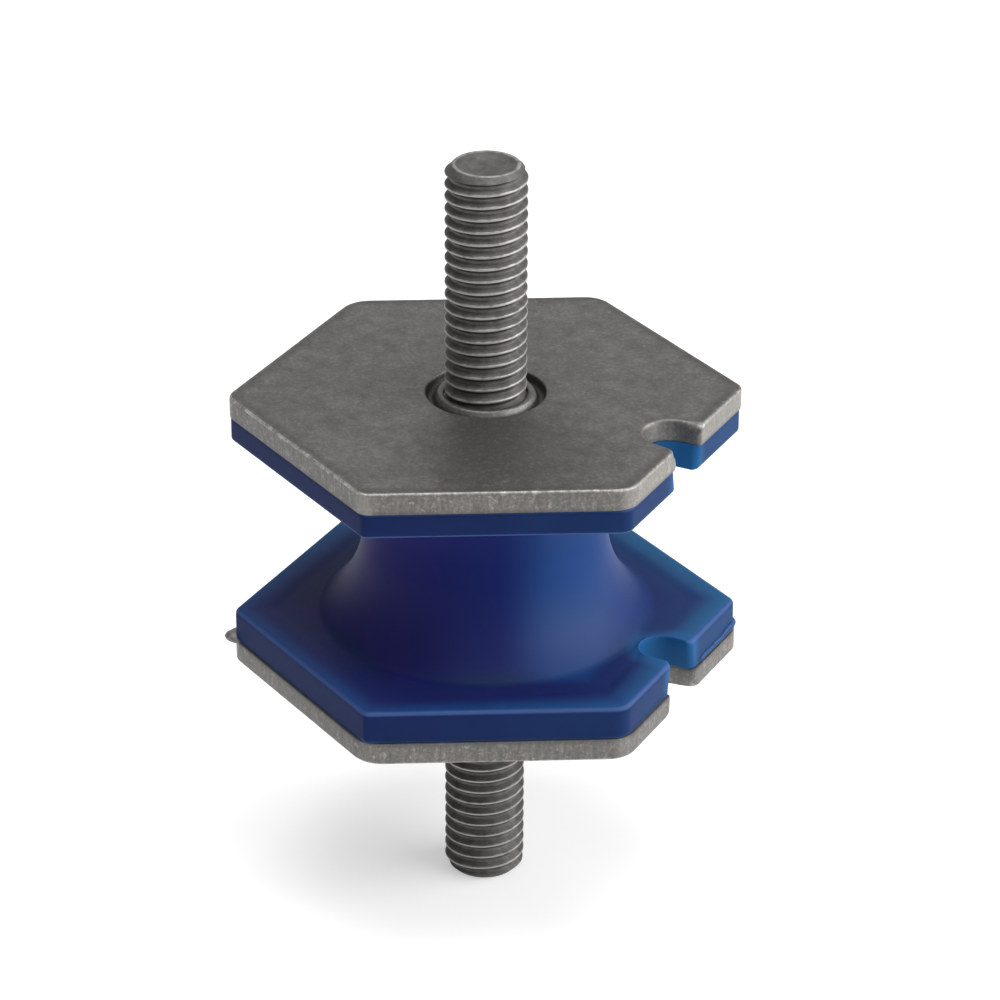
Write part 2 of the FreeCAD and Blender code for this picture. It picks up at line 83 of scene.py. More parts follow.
STUD_HOLE = 4.25
RING_RADIUS = 4.65
RING_MOUTH = 4.03
RING_SLOPE = 0.42
GROOVE_RADIUS = 5.8
GROOVE_FLARE = 0.2
GROOVE_DEPTH = 0.9

FLANGE_APOTHEM = -BODY[0].x
UPPER_RIM_CORNERS = (1.2, 1.4, 1.4, 1.2, 0.9, 1.5)
LOWER_RIM_CORNERS = (1.0, 1.4, 1.4, 1.1, 0.8, 2.0)
LOWER_FLANGE = 3.3
UPPER_FLANGE = 2.5
UPPER_RIM_EDGE = 0.36
LOWER_RIM_EDGE = 0.55
FOOT_SETBACK = 0.12
# Inside its flat band, a rim's inner face steps down to the neck.
RIM_BAND = 2.3
RIM_SLOPE = 1.4
RIM_STEP = 0.15
BODY_NOTCH_HALF_WIDTH = 2.6
BODY_NOTCH_DRAFT = math.radians(8)
BODY_NOTCH_DEPTH = 4.5
BODY_LIP = 0.65
# Along the notch, a rim's edge draws in by this share of its radius.
NOTCH_EDGE_SHARE = 0.23

# The flash starts FLASH_GAP from the notch's wall, turns within FLASH_TURN of the corner and ends FLASH_TAIL
# past it.
FLASH_GAP = 1.2
FLASH_REACH = 0.28
FLASH_HEIGHT = 0.6
FLASH_FOOT = 0.12
FLASH_TAIL = 2.6
FLASH_TURN = 0.5
FLASH_CORNER_SINK = 0.12

# The burr stands at this azimuth in degrees, its foot this far from the axis.
BURR_AZIMUTH = 210.0
BURR_FOOT = 22.9
BURR_LENGTH = 2.7
BURR_SETBACK = 0.6
BURR_HALF_WIDTH = 1.5
BURR_ABOVE = 0.65
BURR_BELOW = 0.5
BURR_DROOP = 0.1

WAIST_RADIUS = 11.9
NECK_ROOT = 16.35
NECK_FILLET = 1.2
STUD_HEAD = 6.5
STUD_HEAD_HEIGHT = 2.0

CREST_RADIUS = 3.95
THREAD_DEPTH = 0.54
PITCH = 1.25
CREST_SHARE = 0.12
ROOT_SHARE = 0.2
# Where on the pitch each thread starts, so that its crests meet the picture's.
UPPER_PHASE = 0.89
LOWER_PHASE = 0.64
TIP_BEVEL = 0.75
TIP_RADIUS = CREST_RADIUS - TIP_BEVEL
DISH_RADIUS = 2.95
DISH_DEPTH = 0.45
DISH_LIP = 0.08
DISH_EDGE = 0.01
SHOULDER_DROP = 0.5
THREAD_SINK = 0.1

# How finely the meshes are cut up: points along or around a form, or steps between its rings.
SIDE_POINTS = 24
HALF_SIDE_POINTS = 12
CORNER_POINTS = 10
LIP_POINTS = 8
WALL_POINTS = 10
END_POINTS = 24
NOTCH_LOOP_POINTS = 12
RIM_LOOP_POINTS = 30
EDGE_STEPS = 6
GROOVE_POINTS = 128
NECK_POINTS = 192
NECK_ARC_STEPS = 56
NECK_FILLET_STEPS = 7
SEAT_POINTS = 96
STUD_POINTS = 120
STEPS_PER_PITCH = 20
DISH_STEPS = 8
FLASH_STEPS = 90
FLASH_AROUND = 10
BURR_STEPS = 12
BURR_AROUND = 16
# Heights of the rings on a plate's wall, and how far inside the edge the flat faces of a plate and a rim
# start.
WALL_HEIGHTS = (0.3, 0.7, 1.1, 1.5)
FACE_MARGIN = 0.05
RIM_FACE_MARGIN = 0.06
# How far from the notch's wall the loops lie that carry the rolled-over face, and how far inside a rim's edge
# those that carry its step.
NOTCH_LOOPS = (0.42, 0.55, 0.72, 0.9, 1.15, 1.5)
RIM_LOOPS = (0.9, 1.6, 2.1, 2.3, 2.5, 2.75, 3.0, 3.25, 3.5, 3.7, 3.9, 4.2, 4.7)
# The loops keep this far off the plate's edge, the neck, and the rim's notch.
MOUTH_CLEARANCE = 0.15
NECK_CLEARANCE = 0.12
NOTCH_CLEARANCE = 0.3
# Points within this distance of each other count as one where a face is filled.
FILL_TOLERANCE = 1e-5
# The same in a stud's mesh, where the thread runs out into the tip.
WELD = 0.001
# Edges that bend by more degrees than this are sharp.
PLATE_SHARP_ANGLE = 40
STUD_SHARP_ANGLE = 50
BODY_SHARP_ANGLE = 50


# Mesh building


def smooth(t):
    """Eases from 0 to 1."""
    t = min(1.0, max(0.0, t))
    return t * t * (3 - 2 * t)


class Skin:
    """Collects rings of points and the faces between them."""

    def __init__(self):
        self.points = []
        self.faces = []

    def ring(self, flat_points, height):
        """Adds a ring at one height. Returns its point numbers."""
        start = len(self.points)
        self.points += [(x, y, height) for x, y in flat_points]
        return list(range(start, len(self.points)))

    def band(self, lower, upper):
        """Joins two rings with the same number of points, the outside of the wall to the ring's right."""
        count = len(lower)
        for i in range(count):
            j = (i + 1) % count
            self.faces.append((lower[i], lower[j], upper[j], upper[i]))

    def bands(self, rings):
        """Joins each ring to the next."""
        for lower, upper in zip(rings, rings[1:]):
            self.band(lower, upper)

    def sleeve(self, rings):
        """A closed form over rings of points in space, capped at both ends."""
        last = None
        for points in rings:
            start = len(self.points)
            self.points += points
            ring = list(range(start, len(self.points)))
            if last:
                self.band(last, ring)
            else:
                self.faces.append(tuple(reversed(ring)))
            last = ring
        self.faces.append(tuple(last))

    def cap(self, rim, hole, inner_loops, height_at, facing_up):
        """Fills the region between a rim and a round hole, with loops of points inside it raised to their
        heights."""
        numbers = rim + hole
        # A face in the hole has its middle nearer the axis than this, and one outside it hasn't.
        inside_hole = math.hypot(*self.points[hole[0]][:2]) * (1 - 0.9 * (math.pi / len(hole)) ** 2)
        flat = [Vector(self.points[n][:2]) for n in numbers]
        edges = []
        start = 0
        for closed in (rim, hole):
            count = len(closed)
            edges += [(start + i, start + (i + 1) % count) for i in range(count)]
            start += count
        for loop in inner_loops:
            edges += [(start + i, start + i + 1) for i in range(len(loop) - 1)]
            flat += [Vector(p) for p in loop]
            start += len(loop)
        enclosed = 1
        made, _, faces, sources, _, _ = delaunay_2d_cdt(flat, edges, [], enclosed, FILL_TOLERANCE)
        place = {}
        for index, source in enumerate(sources):
            known = [n for n in source if n < len(numbers)]
            if known:
                place[index] = numbers[known[0]]
        for face in faces:
            middle = sum((made[i] for i in face), Vector((0, 0))) / len(face)
            if middle.length < inside_hole:
                continue
            for i in face:
                if i not in place:
                    place[i] = len(self.points)
                    self.points.append((made[i].x, made[i].y, height_at(made[i].x, made[i].y)))
            corners = tuple(place[i] for i in face)
            self.faces.append(corners if facing_up else corners[::-1])

    def object(self, name, sharp, turned_over=False, merge=0.0):
        """The mesh as an object that rides with the part, its open ends closed, and smooth but for edges over
        the sharp angle."""
        flip = -1 if turned_over else 1
        points = [Vector((x, flip * y, flip * z)) * MM for x, y, z in self.points]
        mesh = bpy.data.meshes.new(name)
        mesh.from_pydata(points, [], self.faces)
        work = bmesh.new()
        work.from_mesh(mesh)
        if merge:
            bmesh.ops.remove_doubles(work, verts=work.verts, dist=merge * MM)
        loose = [v for v in work.verts if not v.link_faces]
        bmesh.ops.delete(work, geom=loose, context="VERTS")
        bmesh.ops.holes_fill(work, edges=[e for e in work.edges if e.is_boundary])
        bmesh.ops.recalc_face_normals(work, faces=work.faces)
        work.to_mesh(mesh)
        work.free()
        mesh.shade_smooth()
        mesh.set_sharp_from_angle(angle=math.radians(sharp))
        made = bpy.data.objects.new(name, mesh)
        bpy.context.scene.collection.objects.link(made)
        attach(made, "root")
        return made


def circle(radius, count):
    angles = [math.tau * i / count for i in range(count)]
    return [(radius * math.cos(angle), radius * math.sin(angle)) for angle in angles]


def arc(centre, radius, first, last, count):
    """Points along an arc, its first point in and its last one out."""
    return [
        (
            centre[0] + radius * math.cos(first + (last - first) * i / count),
            centre[1] + radius * math.sin(first + (last - first) * i / count),
        )
        for i in range(count)
    ]


def line(start, end, count):
    """Points along a line, its first point in and its last one out."""
    return [
        (start[0] + (end[0] - start[0]) * i / count, start[1] + (end[1] - start[1]) * i / count)
        for i in range(count)
    ]


def lip(apothem, half_width, side, radius, inset, notch_inset):
    """The rounded edge that leads from the hexagon's side into the notch's wall, drawn in from each by its
    inset."""
    outward, inward = radius - inset, radius - notch_inset
    return [
        (
            apothem - radius + outward * math.cos(math.pi / 2 * i / LIP_POINTS),
            side * (half_width + radius - inward * math.sin(math.pi / 2 * i / LIP_POINTS)),
        )
        for i in range(LIP_POINTS + 1)
    ]


def notched_hexagon(apothem, corners, notch, inset=0.0, notch_inset=None):
    """The outline with the notch, anticlockwise from the notch's far wall. notch gives its half width, the
    centre of its round end, and the radii of the lips on its near and far side."""
    half_width, centre, near_lip, far_lip = notch
    if notch_inset is None:
        notch_inset = inset
    inner_width = half_width + notch_inset
    far = lip(apothem, half_width, 1, far_lip, inset, notch_inset)[::-1]
    near = lip(apothem, half_width, -1, near_lip, inset, notch_inset)
    points = line((centre, inner_width), far[0], WALL_POINTS) + far[:-1]
    here = far[-1]
    for k, corner in enumerate(corners):
        radius = corner - inset
        angle = math.radians(30 + 60 * k)
        reach = (apothem - corner) * 2 / math.sqrt(3)
        middle = (reach * math.cos(angle), reach * math.sin(angle))
        first, last = math.radians(60 * k), math.radians(60 * (k + 1))
        there = (middle[0] + radius * math.cos(first), middle[1] + radius * math.sin(first))
        points += line(here, there, HALF_SIDE_POINTS if k == 0 else SIDE_POINTS)
        points += arc(middle, radius, first, last, CORNER_POINTS)
        here = (middle[0] + radius * math.cos(last), middle[1] + radius * math.sin(last))
    points += line(here, near[0], HALF_SIDE_POINTS) + near[:-1]
    points += line(near[-1], (centre, -inner_width), WALL_POINTS)
    points += arc((centre, 0), inner_width, -math.pi / 2, -3 * math.pi / 2, END_POINTS)
    return points


def hexagon_distance(x, y):
    """How far out a point lies, measured square to the hexagon's nearest side."""
    return max(
        x * math.cos(math.radians(60 * k)) + y * math.sin(math.radians(60 * k)) for k in range(6)
    )


def near_notch(x, y, notch, margin):
    """Whether a point lies in a rim's notch or within the margin of its wall or lips."""
    half_width, centre, _, lip_radius = notch
    if x < centre:
        return math.hypot(x - centre, y) < half_width + margin
    return abs(y) < half_width + (margin if x < FLANGE_APOTHEM - lip_radius - margin else lip_radius + margin)


def notch_roll(x, y):
    """How far the plate's outer face drops beside the notch, where the punch drew it down."""
    away = abs(y) if x > NOTCH_CENTRE else math.hypot(x - NOTCH_CENTRE, y)
    away -= NOTCH_HALF_WIDTH
    end, mouth = NOTCH_ROLL
    if y <= 0:
        mouth *= NEAR_ROLL_SHARE
    radius = end + (mouth - end) * smooth((x - NOTCH_CENTRE + end) / (PLATE_APOTHEM - NOTCH_CENTRE))
    if away >= radius:
        return 0.0
    return radius - math.sqrt(radius**2 - (radius - max(away, 0.0)) ** 2)


def clear_of_lips(x, y):
    """Whether a point beside the notch keeps off the plate's edge where that rounds into the notch."""
    gap = 0.1
    radius = ROUND_LIP[1] + gap
    away_x = x - (PLATE_APOTHEM - radius)
    away_y = abs(y) - (NOTCH_HALF_WIDTH + radius)
    if away_x < 0 or away_y > 0:
        return True
    return math.hypot(away_x, away_y) < radius - PLATE_ROLL - gap


def groove_profile(top):
    """Radius and height along the punched groove, from its outer lip in: the flared wall, the floor, the
    ring's sloped wall, its flat top and mouth, and the stud's hole."""
    floor = top - GROOVE_DEPTH
    foot = RING_RADIUS + RING_SLOPE
    return [
        (GROOVE_RADIUS + 0.25, top),
        (GROOVE_RADIUS + 0.18, top - 0.005),
        (GROOVE_RADIUS + 0.08, top - 0.03),
        (GROOVE_RADIUS, top - 0.1),
        (GROOVE_RADIUS - GROOVE_FLARE * 0.4, top - 0.35),
        (GROOVE_RADIUS - GROOVE_FLARE * 0.85, floor + 0.15),
        (GROOVE_RADIUS - GROOVE_FLARE - 0.14, floor + 0.02),
        (foot + 0.16, floor),
        (foot + 0.04, floor + 0.04),
        (foot - 0.06, floor + 0.14),
        (RING_RADIUS + 0.06, top - 0.2),
        (RING_RADIUS - 0.02, top - 0.07),
        (RING_RADIUS - 0.14, top),
        (RING_MOUTH + 0.14, top),
        (RING_MOUTH + 0.02, top - 0.08),
        (RING_MOUTH, top - 0.3),
        (STUD_HOLE, top - 0.46),
        (STUD_HOLE, 0.0),
    ]


def plate(corners):
    """The stamping, its bonded face at z = 0 and its outer face up."""
    skin = Skin()
    top = PLATE_THICKNESS

    def ring(inset, height):
        lip_share = smooth((height / top - 0.35) / 0.5)
        near, far = (bonded + (outer - bonded) * lip_share for bonded, outer in (ROUND_LIP, CRISP_LIP))
        notch = (NOTCH_HALF_WIDTH, NOTCH_CENTRE, near, far)
        made = skin.ring(notched_hexagon(PLATE_APOTHEM, corners, notch, inset), height)
        for n in made:
            x, y, z = skin.points[n]
            skin.points[n] = (x, y, z - (height / top) ** 2 * notch_roll(x, y))
        return made

    bottom = ring(BURNISH * 2, 0)
    rings = [bottom, ring(BURNISH / 2, BURNISH)]
    rings += [ring(0, height) for height in (*WALL_HEIGHTS, top - PLATE_ROLL)]
    for step in range(1, EDGE_STEPS + 1):
        turn = math.pi / 2 * step / EDGE_STEPS
        rings.append(ring(PLATE_ROLL * (1 - math.cos(turn)), top - PLATE_ROLL * (1 - math.sin(turn))))
    rim = ring(PLATE_ROLL + FACE_MARGIN, top)
    rings.append(rim)
    skin.bands(rings)

    groove = [skin.ring(circle(radius, GROOVE_POINTS), height) for radius, height in groove_profile(top)]
    skin.bands(groove)

    beside_notch = []
    mouth = PLATE_APOTHEM - PLATE_ROLL - MOUTH_CLEARANCE
    for margin in NOTCH_LOOPS:
        reach = NOTCH_HALF_WIDTH + margin
        far = line((mouth, reach), (NOTCH_CENTRE, reach), NOTCH_LOOP_POINTS)
        end = arc((NOTCH_CENTRE, 0), reach, math.pi / 2, 3 * math.pi / 2, END_POINTS)
        near = line((NOTCH_CENTRE, -reach), (mouth, -reach), NOTCH_LOOP_POINTS) + [(mouth, -reach)]
        beside_notch.append([p for p in far + end + near if clear_of_lips(*p)])
    skin.cap(rim, groove[0], beside_notch, lambda x, y: top - notch_roll(x, y), True)
    skin.cap(bottom, groove[-1], [], lambda x, y: 0.0, False)
    return skin


def neck_profile(low, high):
    """Radius and height along the neck, from the low floor to the high one."""
    half, middle = (high - low) / 2, (high + low) / 2
    drawn_in = NECK_ROOT - WAIST_RADIUS
    bow = (half**2 + drawn_in**2) / (2 * drawn_in)
    reach, rise = bow - NECK_FILLET, half - NECK_FILLET
    fillet_across = WAIST_RADIUS + bow - math.sqrt(reach**2 - rise**2)
    spread = math.asin(rise / reach)
    profile = []
    for i in range(NECK_FILLET_STEPS):
        turn = (math.pi / 2 - spread) * i / NECK_FILLET_STEPS
        angle = -math.pi / 2 - turn
        above = NECK_FILLET * (1 + math.sin(angle))
        profile.append((fillet_across + NECK_FILLET * math.cos(angle), low + above))
    for i in range(NECK_ARC_STEPS + 1):
        angle = math.pi + spread - 2 * spread * i / NECK_ARC_STEPS
        profile.append((WAIST_RADIUS + bow + bow * math.cos(angle), middle + bow * math.sin(angle)))
    for i in reversed(range(NECK_FILLET_STEPS)):
        turn = (math.pi / 2 - spread) * i / NECK_FILLET_STEPS
        angle = math.pi / 2 + turn
        below = NECK_FILLET * (1 - math.sin(angle))
        profile.append((fillet_across + NECK_FILLET * math.cos(angle), high - below))
    return profile


def rim_drop(x, y):
    """How far the inner face of a rim lies behind its flat band."""
    inset = FLANGE_APOTHEM - hexagon_distance(x, y)
    return RIM_STEP * smooth((inset - RIM_BAND) / RIM_SLOPE)


def flange(skin, corners, edge, plate_z, face_z, neck_ring, up):
    """One rim: its bonded face with the stud head's seat, its wall and edge, and its inner face down to the
    neck. up is 1 for the lower rim, whose inner face looks up, and -1 for the upper one."""
    thickness = abs(face_z - plate_z)
    narrow = BODY_NOTCH_HALF_WIDTH - thickness * math.tan(BODY_NOTCH_DRAFT)
    notch_end = PLATE_APOTHEM - BODY_NOTCH_DEPTH

    def notch_at(share):
        half_width = BODY_NOTCH_HALF_WIDTH + (narrow - BODY_NOTCH_HALF_WIDTH) * share
        return (half_width, notch_end + half_width, BODY_LIP, BODY_LIP)

    def ring(share, inset, height):
        notch_inset = inset * NOTCH_EDGE_SHARE
        outline = notched_hexagon(FLANGE_APOTHEM, corners, notch_at(share), inset, notch_inset)
        return skin.ring(outline, height)

    wall_foot = plate_z + up * FOOT_SETBACK
    wall_height = face_z - up * (edge + FOOT_SETBACK) - plate_z
    foot = ring(0, FOOT_SETBACK, plate_z)
    rings = [foot]
    for step in range(EDGE_STEPS + 1):
        share = step / EDGE_STEPS
        rings.append(ring(share, 0, wall_foot + wall_height * share))
    for step in range(1, EDGE_STEPS + 1):
        turn = math.pi / 2 * step / EDGE_STEPS
        rings.append(ring(1, edge * (1 - math.cos(turn)), face_z - up * edge * (1 - math.sin(turn))))
    support = ring(1, edge + RIM_FACE_MARGIN, face_z)
    rings.append(support)
    skin.bands(rings[::up])

    neck_radius = math.hypot(*skin.points[neck_ring[0]][:2])
    inner_loops = []
    for inset in RIM_LOOPS:
        corner = (FLANGE_APOTHEM - inset) * 2 / math.sqrt(3)
        tips = [
            (corner * math.cos(math.radians(60 * k - 30)), corner * math.sin(math.radians(60 * k - 30)))
            for k in range(7)
        ]
        loop = []
        for start, end in zip(tips, tips[1:]):
            loop += line(start, end, RIM_LOOP_POINTS)
        loop.append(loop[0])
        kept = []
        for x, y in loop:
            clear = math.hypot(x, y) > neck_radius + NECK_CLEARANCE
            if clear and not near_notch(x, y, notch_at(1), NOTCH_CLEARANCE):
                kept.append((x, y))
            elif kept:
                inner_loops.append(kept)
                kept = []
        if kept:
            inner_loops.append(kept)
    skin.cap(support, neck_ring, inner_loops, lambda x, y: face_z - up * rim_drop(x, y), up > 0)

    seat = skin.ring(circle(STUD_HEAD, SEAT_POINTS), plate_z)
    seat_floor = skin.ring(circle(STUD_HEAD, SEAT_POINTS), plate_z + up * STUD_HEAD_HEIGHT)
    skin.bands([seat_floor, seat][::up])
    skin.faces.append(tuple(seat_floor))
    skin.cap(foot, seat, [], lambda x, y: plate_z, up < 0)


def cast_body():
    """The cast polyurethane in one skin: two rims and the waisted neck."""
    skin = Skin()
    low_face = BODY[0].z + LOWER_FLANGE
    high_face = BODY[1].z - UPPER_FLANGE
    profile = neck_profile(low_face - RIM_STEP, high_face + RIM_STEP)
    neck = [skin.ring(circle(radius, NECK_POINTS), height) for radius, height in profile]
    skin.bands(neck)
    flange(skin, LOWER_RIM_CORNERS, LOWER_RIM_EDGE, BODY[0].z, low_face, neck[0], 1)
    flange(skin, UPPER_RIM_CORNERS, UPPER_RIM_EDGE, BODY[1].z, high_face, neck[-1], -1)
    moulding_flash(skin)
    return skin


def moulding_flash(skin):
    """The ragged lip of flash along the foot of the lower rim, from its notch to just past the corner, where
    it is thickest."""
    corner = Vector((FLANGE_APOTHEM, FLANGE_APOTHEM / math.sqrt(3)))
    along_next_side = Vector((-math.sqrt(3) / 2, 0.5))
    start = NOTCH_HALF_WIDTH + FLASH_GAP
    straight = corner.y - start
    rings = []
    for step in range(FLASH_STEPS + 1):
        run = (straight + FLASH_TAIL) * step / FLASH_STEPS
        past = run - straight
        turn = math.radians(60) * smooth(past + FLASH_TURN)
        outward = Vector((math.cos(turn), math.sin(turn)))
        foot = Vector((corner.x, min(start + run, corner.y))) + along_next_side * max(0.0, past)
        if past > -FLASH_TURN:
            foot.x -= FLASH_CORNER_SINK
        ragged = 0.5 + 0.5 * math.sin(5.1 * run + 1.3) * math.sin(2.3 * run) + 0.1 * math.sin(11.0 * run)
        growth = 0.35 + 0.65 * smooth((past + 3.5) / 3.0)
        fade = smooth(run / 0.8) * smooth((FLASH_TAIL - past) / 1.4)
        reach = FLASH_REACH * (0.55 + 0.35 * growth + 0.12 * ragged) * fade + 0.02
        tall = FLASH_HEIGHT * (0.45 + 0.9 * growth + 0.15 * ragged) * fade + 0.02
        low = BODY[0].z + FLASH_FOOT + 0.06 * ragged
        ring = []
        for across, up in circle(1.0, FLASH_AROUND):
            flat = foot + outward * reach * across
            ring.append((flat.x, flat.y, low + tall * (0.5 + 0.5 * up)))
        rings.append(ring)
    skin.sleeve(rings)


def corner_burr(skin):
    """The torn tongue at the lower plate's left corner, lying against the rim's foot."""
    direction = math.radians(BURR_AZIMUTH)
    away = Vector((math.cos(direction), math.sin(direction)))
    aside = Vector((-away.y, away.x))
    rings = []
    for step in range(BURR_STEPS + 1):
        share = step / BURR_STEPS
        swell = math.sqrt(1 - share**2) + 0.06
        level = LOWER_PLATE[1].z - BURR_DROOP * share
        ring = []
        for across, up in circle(1.0, BURR_AROUND):
            angle = math.atan2(up, across)
            bumpy = 1 + 0.1 * math.sin(3 * angle + 5 * share) + 0.06 * math.sin(7 * angle - 9 * share)
            height = (BURR_ABOVE if up > 0 else BURR_BELOW) * swell * bumpy * up
            spread = BURR_HALF_WIDTH * swell * bumpy * across - BURR_SETBACK
            flat = away * (BURR_FOOT + BURR_LENGTH * share) + aside * spread
            ring.append((flat.x, flat.y, level + height))
        rings.append(ring)
    skin.sleeve(rings)


def thread_depth(share):
    """How far the thread lies inside its crest, for a share of the pitch from the middle of a crest."""
    flank = (1 - CREST_SHARE - ROOT_SHARE) / 2
    from_crest = min(share, 1 - share) - CREST_SHARE / 2
    return THREAD_DEPTH * min(1.0, max(0.0, from_crest / flank))


def threaded_stud(plate_face, head_foot, tip, phase):
    """A stud standing up: its head and shoulder behind the plate, then the thread up to the bevelled,
    dished tip."""
    skin = Skin()
    shoulder_top = plate_face - SHOULDER_DROP
    foot = shoulder_top - THREAD_SINK
    levels = int((tip - foot) / PITCH + 3) * STEPS_PER_PITCH
    for level in range(levels):
        for i in range(STUD_POINTS):
            angle = math.tau * i / STUD_POINTS
            height = foot + PITCH * (level / STEPS_PER_PITCH - 1 + i / STUD_POINTS)
            bounded = min(max(height, foot), tip)
            radius = CREST_RADIUS - thread_depth((level / STEPS_PER_PITCH + phase) % 1.0)
            radius = min(radius, TIP_RADIUS + (tip - bounded))
            skin.points.append((radius * math.cos(angle), radius * math.sin(angle), bounded))

    def number(level, i):
        """A point's number. One turn on, the helix meets itself a pitch higher."""
        return (level + STEPS_PER_PITCH) * STUD_POINTS if i == STUD_POINTS else level * STUD_POINTS + i

    for level in range(levels - 1 - STEPS_PER_PITCH):
        for i in range(STUD_POINTS):
            corners = (number(level, i), number(level, i + 1), number(level + 1, i + 1), number(level + 1, i))
            if len({skin.points[c][2] for c in corners}) > 1:
                skin.faces.append(corners)

    dished = [(TIP_RADIUS, tip), (DISH_RADIUS + DISH_LIP, tip - DISH_EDGE)]
    for step in range(DISH_STEPS):
        share = 1 - step / DISH_STEPS
        dished.append((DISH_RADIUS * share, tip - 2 * DISH_EDGE - DISH_DEPTH * (1 - share**3)))
    rings = [skin.ring(circle(radius, STUD_POINTS), height) for radius, height in dished]
    skin.bands(rings)
    skin.faces.append(tuple(rings[-1]))

    head_top = head_foot + STUD_HEAD_HEIGHT
    head = [(STUD_HEAD, head_foot), (STUD_HEAD, head_top), (STUD_HOLE, head_top), (STUD_HOLE, shoulder_top)]
    rings = [skin.ring(circle(radius, STUD_POINTS), height) for radius, height in head]
    skin.bands(rings)
    skin.faces.append(tuple(reversed(rings[0])))
    skin.faces.append(tuple(rings[-1]))
    return skin


# Materials

# The lights and the materials' brighter sides follow the picture, so the camera's azimuth comes first.
CAMERA_AZIMUTH = 27.06
PICTURE_RIGHT = (math.cos(math.radians(CAMERA_AZIMUTH)), math.sin(math.radians(CAMERA_AZIMUTH)))
PICTURE_BACK = (-PICTURE_RIGHT[1], PICTURE_RIGHT[0])

TOP_DARK = (0.12, 0.117, 0.112, 1)
TOP_LIGHT = (0.235, 0.226, 0.214, 1)
TOP_MIDDLE = (0.16, 0.156, 0.15, 1)
# Darkest top tone: the round in front of the stud, and painted shade by the casting and inside the edges.
TOP_DARKEST = (0.075, 0.075, 0.073, 1)
# Painted shade in the upper plate's groove.
GROOVE_SHADE = (0.03, 0.03, 0.029, 1)
SIDE_DARK = (0.11, 0.106, 0.1, 1)
SIDE_LIGHT = (0.2, 0.191, 0.18, 1)
# Painted light on the plates' sides that face the picture's right.
SIDE_PAINTED_LIGHT = (0.29, 0.276, 0.257, 1)
GRAIN_DARK = (0.07, 0.068, 0.064, 1)
GRAIN_LIGHT = (0.4, 0.385, 0.365, 1)
# Painted highlight on the rolled edges.
ROLL_HIGHLIGHT = (0.75, 0.72, 0.68, 1)
DARK_ROUND_CENTRE = (8.0, -10.5, 28.6)
THREAD_DARK = (0.085, 0.083, 0.08, 1)
THREAD_LIGHT = (0.17, 0.165, 0.158, 1)
# Painted shade under the thread.
THREAD_SHADE = (0.035, 0.034, 0.033, 1)
# Bare metal of the crests and the tip's ridge, with a painted highlight.
CREST_BARE_AND_HIGHLIGHT = (0.42, 0.405, 0.385, 1)

# The casting's colours with painted light: shaded and lit tones, a painted glow and a painted edge highlight.
CORE_SHADED = (0.014, 0.013, 0.12, 1)
CORE_NAVY = (0.006, 0.014, 0.115, 1)
CORE_LIT = (0.012, 0.048, 0.18, 1)
FIELD_NAVY = (0.009, 0.015, 0.095, 1)
FIELD_LIT = (0.007, 0.042, 0.165, 1)
SIDE_NAVY = (0.005, 0.016, 0.078, 1)
SIDE_LIT = (0.008, 0.044, 0.13, 1)
GLOW_BLUE = (0.008, 0.042, 0.16, 1)
GLOW_TURQUOISE = (0.014, 0.105, 0.235, 1)
NOTCH_GLOW = (0.012, 0.095, 0.25, 1)
EDGE_HIGHLIGHT = (0.04, 0.088, 0.25, 1)

UP = (0, 0, 1)
# About how far out the plates' rounded corners come.
CORNER_REACH = 24.4
MID_HEIGHT = (UPPER_PLATE[1].z + LOWER_PLATE[0].z) / 2
HALF_HEIGHT = (UPPER_PLATE[1].z - LOWER_PLATE[0].z) / 2


def new_material(name):
    material = bpy.data.materials.new(name)
    material.use_nodes = True
    tree = material.node_tree
    return material, tree, tree.nodes["Principled BSDF"]


def add_node(tree, kind, inputs=None, **settings):
    made = tree.nodes.new(kind)
    for key, value in settings.items():
        setattr(made, key, value)
    for key, value in (inputs or {}).items():
        if isinstance(value, bpy.types.NodeSocket):
            tree.links.new(value, made.inputs[key])
        else:
            made.inputs[key].default_value = value
    return made


def object_mm(tree, stretch=(1, 1, 1)):
    """The object's own coordinates in millimetres, so that a pattern is stretched by the three factors."""
    source = add_node(tree, "ShaderNodeTexCoord")
    scale = tuple(1 / (MM * s) for s in stretch)
    mapping = add_node(tree, "ShaderNodeMapping", {"Vector": source.outputs["Object"], "Scale": scale})
    return mapping.outputs["Vector"]


def noise(tree, where, scale, detail=4.0, roughness=0.55, distortion=0.0):
    made = add_node(
        tree,
        "ShaderNodeTexNoise",
        {"Vector": where, "Scale": scale, "Detail": detail, "Roughness": roughness, "Distortion": distortion},
    )
    return made.outputs["Fac"]


def ramp(tree, value, low, high, first, last, kind="LINEAR"):
    """Maps a value from low..high to first..last, and holds it there outside."""
    made = add_node(
        tree,
        "ShaderNodeMapRange",
        {"Value": value, "From Min": low, "From Max": high, "To Min": first, "To Max": last},
        interpolation_type=kind,
    )
    return made.outputs["Result"]


def mix_colour(tree, factor, first, last):
    made = add_node(tree, "ShaderNodeMix", data_type="RGBA")
    for socket, value in ((0, factor), (6, first), (7, last)):
        if isinstance(value, bpy.types.NodeSocket):
            tree.links.new(value, made.inputs[socket])
        else:
            made.inputs[socket].default_value = value
    return made.outputs[2]


def maths(tree, operation, first, second):
    made = add_node(tree, "ShaderNodeMath", {0: first, 1: second}, operation=operation)
    return made.outputs[0]


def product(tree, first, second):
    return maths(tree, "MULTIPLY", first, second)


def total(tree, first, second):
    return maths(tree, "ADD", first, second)


def size_of(tree, value):
    """A value without its sign."""
    return maths(tree, "ABSOLUTE", value, 0.0)


def along(tree, where, direction):
    """How far a place, or a normal, lies in a direction."""
    made = add_node(tree, "ShaderNodeVectorMath", {0: where, 1: direction}, operation="DOT_PRODUCT")
    return made.outputs["Value"]


def largest(tree, *values):
    result = values[0]
    for value in values[1:]:
        result = maths(tree, "MAXIMUM", result, value)
    return result


def surface_normal(tree):
    return add_node(tree, "ShaderNodeNewGeometry").outputs["Normal"]


